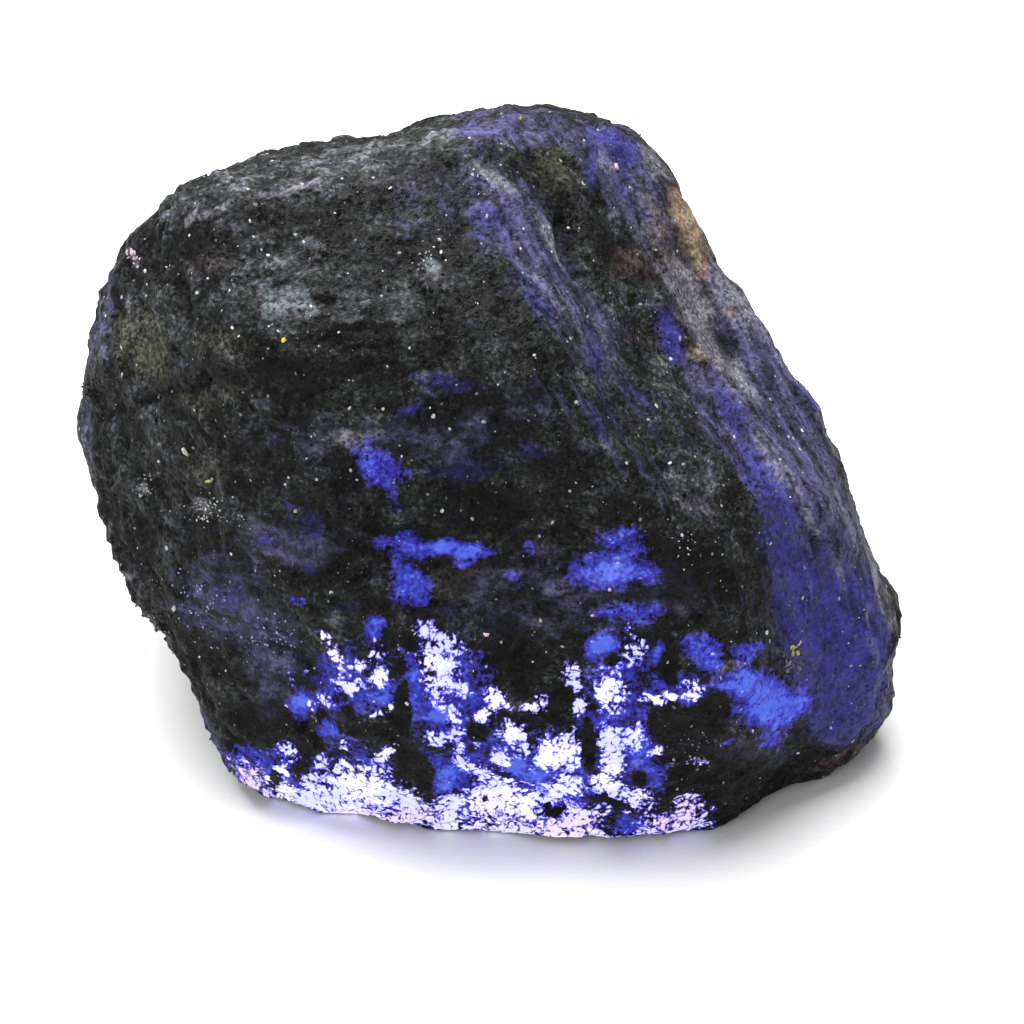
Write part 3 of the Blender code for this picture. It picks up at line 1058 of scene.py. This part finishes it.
def on_vectors(tree, operation, *values):
    """The result of some arithmetic on places, directions or colours."""
    node = add(tree, "ShaderNodeVectorMath", operation=operation)
    for socket, value in zip(node.inputs, values):
        feed(tree, socket, value)
    return node.outputs["Value" if operation == "DOT_PRODUCT" else "Vector"]


def blend(tree, share, below, above, kind="MIX"):
    """A colour: below where share is 0, above where it is 1."""
    node = add(tree, "ShaderNodeMix", data_type="RGBA", blend_type=kind)
    for socket, value in ((node.inputs[0], share), (node.inputs[6], below), (node.inputs[7], above)):
        feed(tree, socket, value)
    return node.outputs[2]


def blended(tree, share, below, above):
    """A number: below where share is 0, above where it is 1."""
    return work(tree, "MULTIPLY_ADD", work(tree, "SUBTRACT", above, below), share, below)


def climb(tree, value, start, end, low=0.0, high=1.0):
    """low up to start, high from end on, smooth between."""
    inputs = {"Value": value, "From Min": start, "From Max": end, "To Min": low, "To Max": high}
    node = add(tree, "ShaderNodeMapRange", inputs, interpolation_type="SMOOTHSTEP")
    return node.outputs["Result"]


def level(tree, name):
    """The number that each point of the skin keeps under this name."""
    return add(tree, "ShaderNodeAttribute", attribute_name=name).outputs["Fac"]


def cloudy(tree, place, kind):
    """Soft noise of one of the kinds above, from about 0.3 to 0.7."""
    size, detail, roughness = kind
    inputs = {"Vector": place, "Scale": 1.0 / (size * MM), "Detail": detail, "Roughness": roughness}
    return add(tree, "ShaderNodeTexNoise", inputs).outputs["Fac"]


def cells(tree, place, size, feature="F1"):
    """Crooked cells of the given size in mm, each with a colour of its own."""
    inputs = {"Vector": place, "Scale": 1.0 / (size * MM)}
    return add(tree, "ShaderNodeTexVoronoi", inputs, feature=feature)


def channels(tree, colour):
    """The red, green and blue of a colour."""
    return add(tree, "ShaderNodeSeparateColor", {"Color": colour}).outputs


def drawn_out(tree, place):
    """Coordinates stretched along the striations, so that a noise read with them makes streaks."""
    axes = (STRIA_SIDE, STRIA_SIDE.cross(STRIA_RUN), STRIA_RUN / STREAK_LENGTH)
    inputs = {name: on_vectors(tree, "DOT_PRODUCT", place, axis) for name, axis in zip("XYZ", axes)}
    return add(tree, "ShaderNodeCombineXYZ", inputs).outputs["Vector"]


def swayed(tree, value, pattern, amount):
    """value, moved up or down by a noise pattern around its middle."""
    return work(tree, "MULTIPLY_ADD", work(tree, "SUBTRACT", pattern, 0.5), amount, value)


def swayed_by(tree, value, patterns, amounts):
    """value, moved up or down by several patterns, each by its own amount."""
    for name, amount in amounts.items():
        value = swayed(tree, value, patterns[name], amount)
    return value


def patch(tree, name, ragged, wobble, start, end, most=1.0):
    """The share of a kind of patch, with its edges broken up by the ragged noise."""
    return climb(tree, swayed(tree, level(tree, name), ragged, wobble), start, end, 0.0, most)


def colours_along(tree, value, tones):
    """A colour for each value: the tones give where each colour is reached."""
    node = add(tree, "ShaderNodeValToRGB", {"Fac": value})
    steps = node.color_ramp.elements
    while len(steps) < len(tones):
        steps.new(0.5)
    for step, (position, colour) in zip(steps, tones):
        step.position = position
        step.color = seen(*colour)
    return node.outputs["Color"]


def stone_patterns(tree, place):
    """The noises and the grain that all of the stone's colours share."""
    inputs = {"Vector": place, "Scale": 1.0 / (CELL_BENDS * MM), "Detail": 1.0}
    bends = add(tree, "ShaderNodeTexNoise", inputs).outputs["Color"]
    reach = Vector((CELL_BEND_REACH, CELL_BEND_REACH, CELL_BEND_REACH)) * MM
    crooked = on_vectors(tree, "MULTIPLY_ADD", bends, reach, place)
    grain = cells(tree, crooked, GRAIN_CELL)
    tone, pick, spread = channels(tree, grain.outputs["Color"])[:3]
    far = grain.outputs["Distance"]
    pitted = climb(tree, pick, 0.10, 0.14, 1.0, 0.0)
    # The few grains that get a painted glint.
    glinting = climb(tree, pick, 0.94, 0.95)
    spot = work(tree, "LESS_THAN", far, climb(tree, spread, 0.0, 1.0, 0.10, 0.34))
    fine = cloudy(tree, place, FINE)
    speckle = swayed(tree, fine, tone, 0.20)
    ragged = cloudy(tree, on_vectors(tree, "MULTIPLY", place, LAYERED), RAGGED)
    drawn = cloudy(tree, drawn_out(tree, place), STREAKS)
    streaks = blended(tree, level(tree, "striated"), ragged, drawn)
    return {
        "crooked": crooked,
        "grain": grain.outputs["Color"],
        "tone": tone,
        "lump": channels(tree, cells(tree, crooked, LUMP_CELL).outputs["Color"])[0],
        # Small pits: sunk by the bump, with painted shade in their colour.
        "pits": work(tree, "MULTIPLY", pitted, climb(tree, far, 0.22, 0.40, 0.75, 0.0)),
        "painted_glints": work(tree, "MULTIPLY", work(tree, "MULTIPLY", glinting, spot), tone),
        "fine": fine,
        "speckle": speckle,
        "ragged": ragged,
        "broad": cloudy(tree, place, BROAD),
        "streaks": streaks,
        "streaked grain": blended(tree, 0.35, streaks, speckle),
        "ragged grain": blended(tree, 0.35, ragged, speckle),
    }


def rock_colour(tree, patterns, dark):
    """Black to charcoal rock, softly mottled; lighter where it is dusty and where sheen is painted,
    and with painted shade: lighter on its raised places, darker in its low places and in the dark
    patches.
    """
    value = swayed_by(tree, 0.44, patterns, ROCK_SWAY)
    # Painted shade from the relief: lighter on raised places, darker in low ones.
    value = swayed(tree, value, level(tree, "painted_relief_shade"), 0.40)
    # Lighter in the dust patches, which also carry painted sheen on the top band and the faces that
    # look up.
    value = work(tree, "MULTIPLY_ADD", level(tree, "dust"), 0.20, value)
    # Darker in the dark patches, which carry painted shade.
    value = work(tree, "MULTIPLY_ADD", dark, -0.10, value)
    return colours_along(tree, value, ROCK_TONES)


def surface_colour(tree, patterns, dark):
    """The rock with its patches of violet, blue, pale, crusted, olive and stained stone; some pale
    patches carry painted sheen, the dark patches and the pits painted shade, and a few grains painted
    glints.
    """
    colour = rock_colour(tree, patterns, dark)
    for name, (edge, wobble, start, end, most, pattern, deep, light) in KINDS.items():
        share = patch(tree, name, patterns[edge], wobble, start, end, most)
        between = climb(tree, patterns[pattern], 0.34, 0.66)
        colour = blend(tree, share, colour, blend(tree, between, seen(*deep), seen(*light)))
    # Painted shade: the dark patches are blackened.
    colour = blend(tree, work(tree, "MULTIPLY", dark, 0.70), colour, seen(*DARK_AND_SHADE_BLACK))
    # Painted shade in the small pits, less on the violet haze.
    worn = climb(tree, level(tree, "haze"), 0.40, 0.95, 1.0, 0.35)
    pitted = work(tree, "MULTIPLY", patterns["pits"], worn)
    colour = blend(tree, pitted, colour, seen(*PIT_SHADE_BLACK))
    # Painted glints: a few small grains are whitened.
    return blend(tree, patterns["painted_glints"], colour, seen(*GLINT_WHITE))


def white_glow(tree, patterns, dark):
    """Light on sugary grains: white at its strongest, then lavender, violet and black in the gaps."""
    here = level(tree, "white_light")
    rise = work(tree, "MULTIPLY", work(tree, "SUBTRACT", patterns["lump"], 0.5), 0.60)
    rise = swayed_by(tree, rise, patterns, WHITE_SWAY)
    lit = work(tree, "MULTIPLY", here, 1.34)
    value = work(tree, "MULTIPLY_ADD", rise, climb(tree, here, 0.04, 0.30), lit)
    gap = cells(tree, patterns["crooked"], LUMP_CELL, "DISTANCE_TO_EDGE").outputs["Distance"]
    value = work(tree, "SUBTRACT", value, climb(tree, gap, 0.00, 0.20, 0.44, 0.0))
    # The white light is cut in the dark patches, where painted shade lies.
    value = work(tree, "MULTIPLY_ADD", dark, -0.8, value)
    warmth = climb(tree, patterns["broad"], 0.42, 0.58)
    white = blend(tree, warmth, seen(*COOL_WHITE), seen(*WARM_WHITE))
    white = blend(tree, level(tree, "rosy"), white, seen(*ROSY_WHITE))
    return blend(tree, 1.0, colours_along(tree, value, WHITE_TONES), white, "MULTIPLY")


def blue_glow(tree, patterns, dark):
    """Light through clearer stone: deep violet-blue at its edges, sky blue at its strongest."""
    here = level(tree, "blue_light")
    value = swayed_by(tree, work(tree, "MULTIPLY", here, 1.12), patterns, BLUE_SWAY)
    value = work(tree, "MULTIPLY", value, climb(tree, here, 0.04, 0.26))
    # The blue light is cut in the dark patches and the pits, where painted shade lies.
    value = work(tree, "MULTIPLY_ADD", dark, -0.7, value)
    value = work(tree, "MULTIPLY_ADD", patterns["pits"], -0.5, value)
    return colours_along(tree, value, BLUE_TONES)


def facets(tree, patterns):
    """The way the surface looks, tilted a little differently on each grain."""
    spread = Vector((FACET_TILT, FACET_TILT, FACET_TILT))
    tilt = on_vectors(tree, "MULTIPLY_ADD", patterns["grain"], 2.0 * spread, -spread)
    look = add(tree, "ShaderNodeNewGeometry").outputs["Normal"]
    return on_vectors(tree, "NORMALIZE", on_vectors(tree, "ADD", look, tilt))


def fine_relief(tree, place, patterns):
    """Roughness too small for the mesh: low lumps on grains that each look their own way."""
    height = work(tree, "MULTIPLY_ADD", patterns["pits"], -0.3, cloudy(tree, place, BUMPS))
    inputs = {"Height": height, "Strength": 1.0, "Distance": BUMP_HEIGHT * MM}
    inputs["Normal"] = facets(tree, patterns)
    return add(tree, "ShaderNodeBump", inputs).outputs["Normal"]


def stone_material():
    material, shader = new_material("sapphire_rock_skin")
    material.cycles.emission_sampling = "NONE"
    tree = material.node_tree
    place = add(tree, "ShaderNodeTexCoord").outputs["Object"]
    patterns = stone_patterns(tree, place)
    # The dark patches: dark stone, and painted shade in hollows, creases and gaps and under ledges.
    dark = patch(tree, "dark", patterns["ragged"], 0.9, 0.20, 0.70)
    white, blue = white_glow(tree, patterns, dark), blue_glow(tree, patterns, dark)
    feed(tree, shader.inputs["Base Color"], surface_colour(tree, patterns, dark))
    # Painted light: the white and blue light of the lower front is emission, and the stone glows by
    # itself with no lamp behind it.
    feed(tree, shader.inputs["Emission Color"], blend(tree, 1.0, white, blue, "ADD"))
    feed(tree, shader.inputs["Roughness"], climb(tree, patterns["ragged"], 0.35, 0.65, 0.40, 0.75))
    feed(tree, shader.inputs["Normal"], fine_relief(tree, place, patterns))
    shader.inputs["Emission Strength"].default_value = 1.0
    shader.inputs["Specular IOR Level"].default_value = 0.10
    return material


def make_floor():
    floor = bmesh.new()
    bmesh.ops.create_grid(floor, x_segments=1, y_segments=1, size=FLOOR_HALF_METRES)
    mesh = bpy.data.meshes.new("floor")
    floor.to_mesh(mesh)
    floor.free()
    mesh.materials.append(plain_material("pale_floor", FLOOR_COLOUR, 0.6))
    return added("floor", mesh)


def make_camera():
    data = bpy.data.cameras.new("camera")
    data.lens = LENS
    data.sensor_width = SENSOR
    data.clip_start = 0.01
    camera = added("camera", data)
    forward = camera_axes()[2]
    camera.location = (CAMERA_TARGET - CAMERA_DISTANCE * forward) * MM
    camera.rotation_euler = (math.radians(90.0 - CAMERA_RISE), 0.0, 0.0)
    bpy.context.scene.camera = camera


def soft_light(name, place, size, power):
    """A square studio light at place, in mm, that faces the stone."""
    data = bpy.data.lights.new(name, "AREA")
    data.shape = "SQUARE"
    data.size = size * MM
    data.energy = power
    place = Vector(place)
    light = added(name, data)
    light.location = place * MM
    light.rotation_euler = (LIT_SPOT - place).to_track_quat("-Z", "Y").to_euler()


def make_light():
    world = bpy.data.worlds.new("studio")
    bpy.context.scene.world = world
    world.use_nodes = True
    studio = world.node_tree.nodes["Background"]
    studio.inputs["Color"].default_value = (1.0, 1.0, 1.0, 1.0)
    studio.inputs["Strength"].default_value = STUDIO_BRIGHTNESS
    for name, (place, size, power) in LIGHTS.items():
        soft_light(name, place, size, power)


def main():
    noise.seed_set(NOISE_SEED)
    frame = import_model()
    solid_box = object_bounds()
    bpy.context.scene.view_settings.view_transform = "Standard"
    stone = rough_stone(frame["nodes"][STONE], solid_box)
    stone.data.materials.clear()
    stone.data.materials.append(stone_material())
    for piece in (stone, *make_grains(stone.data, solid_box)):
        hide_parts(STONE)
        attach(piece, "root")
    floor = make_floor()
    make_camera()
    make_light()


main()
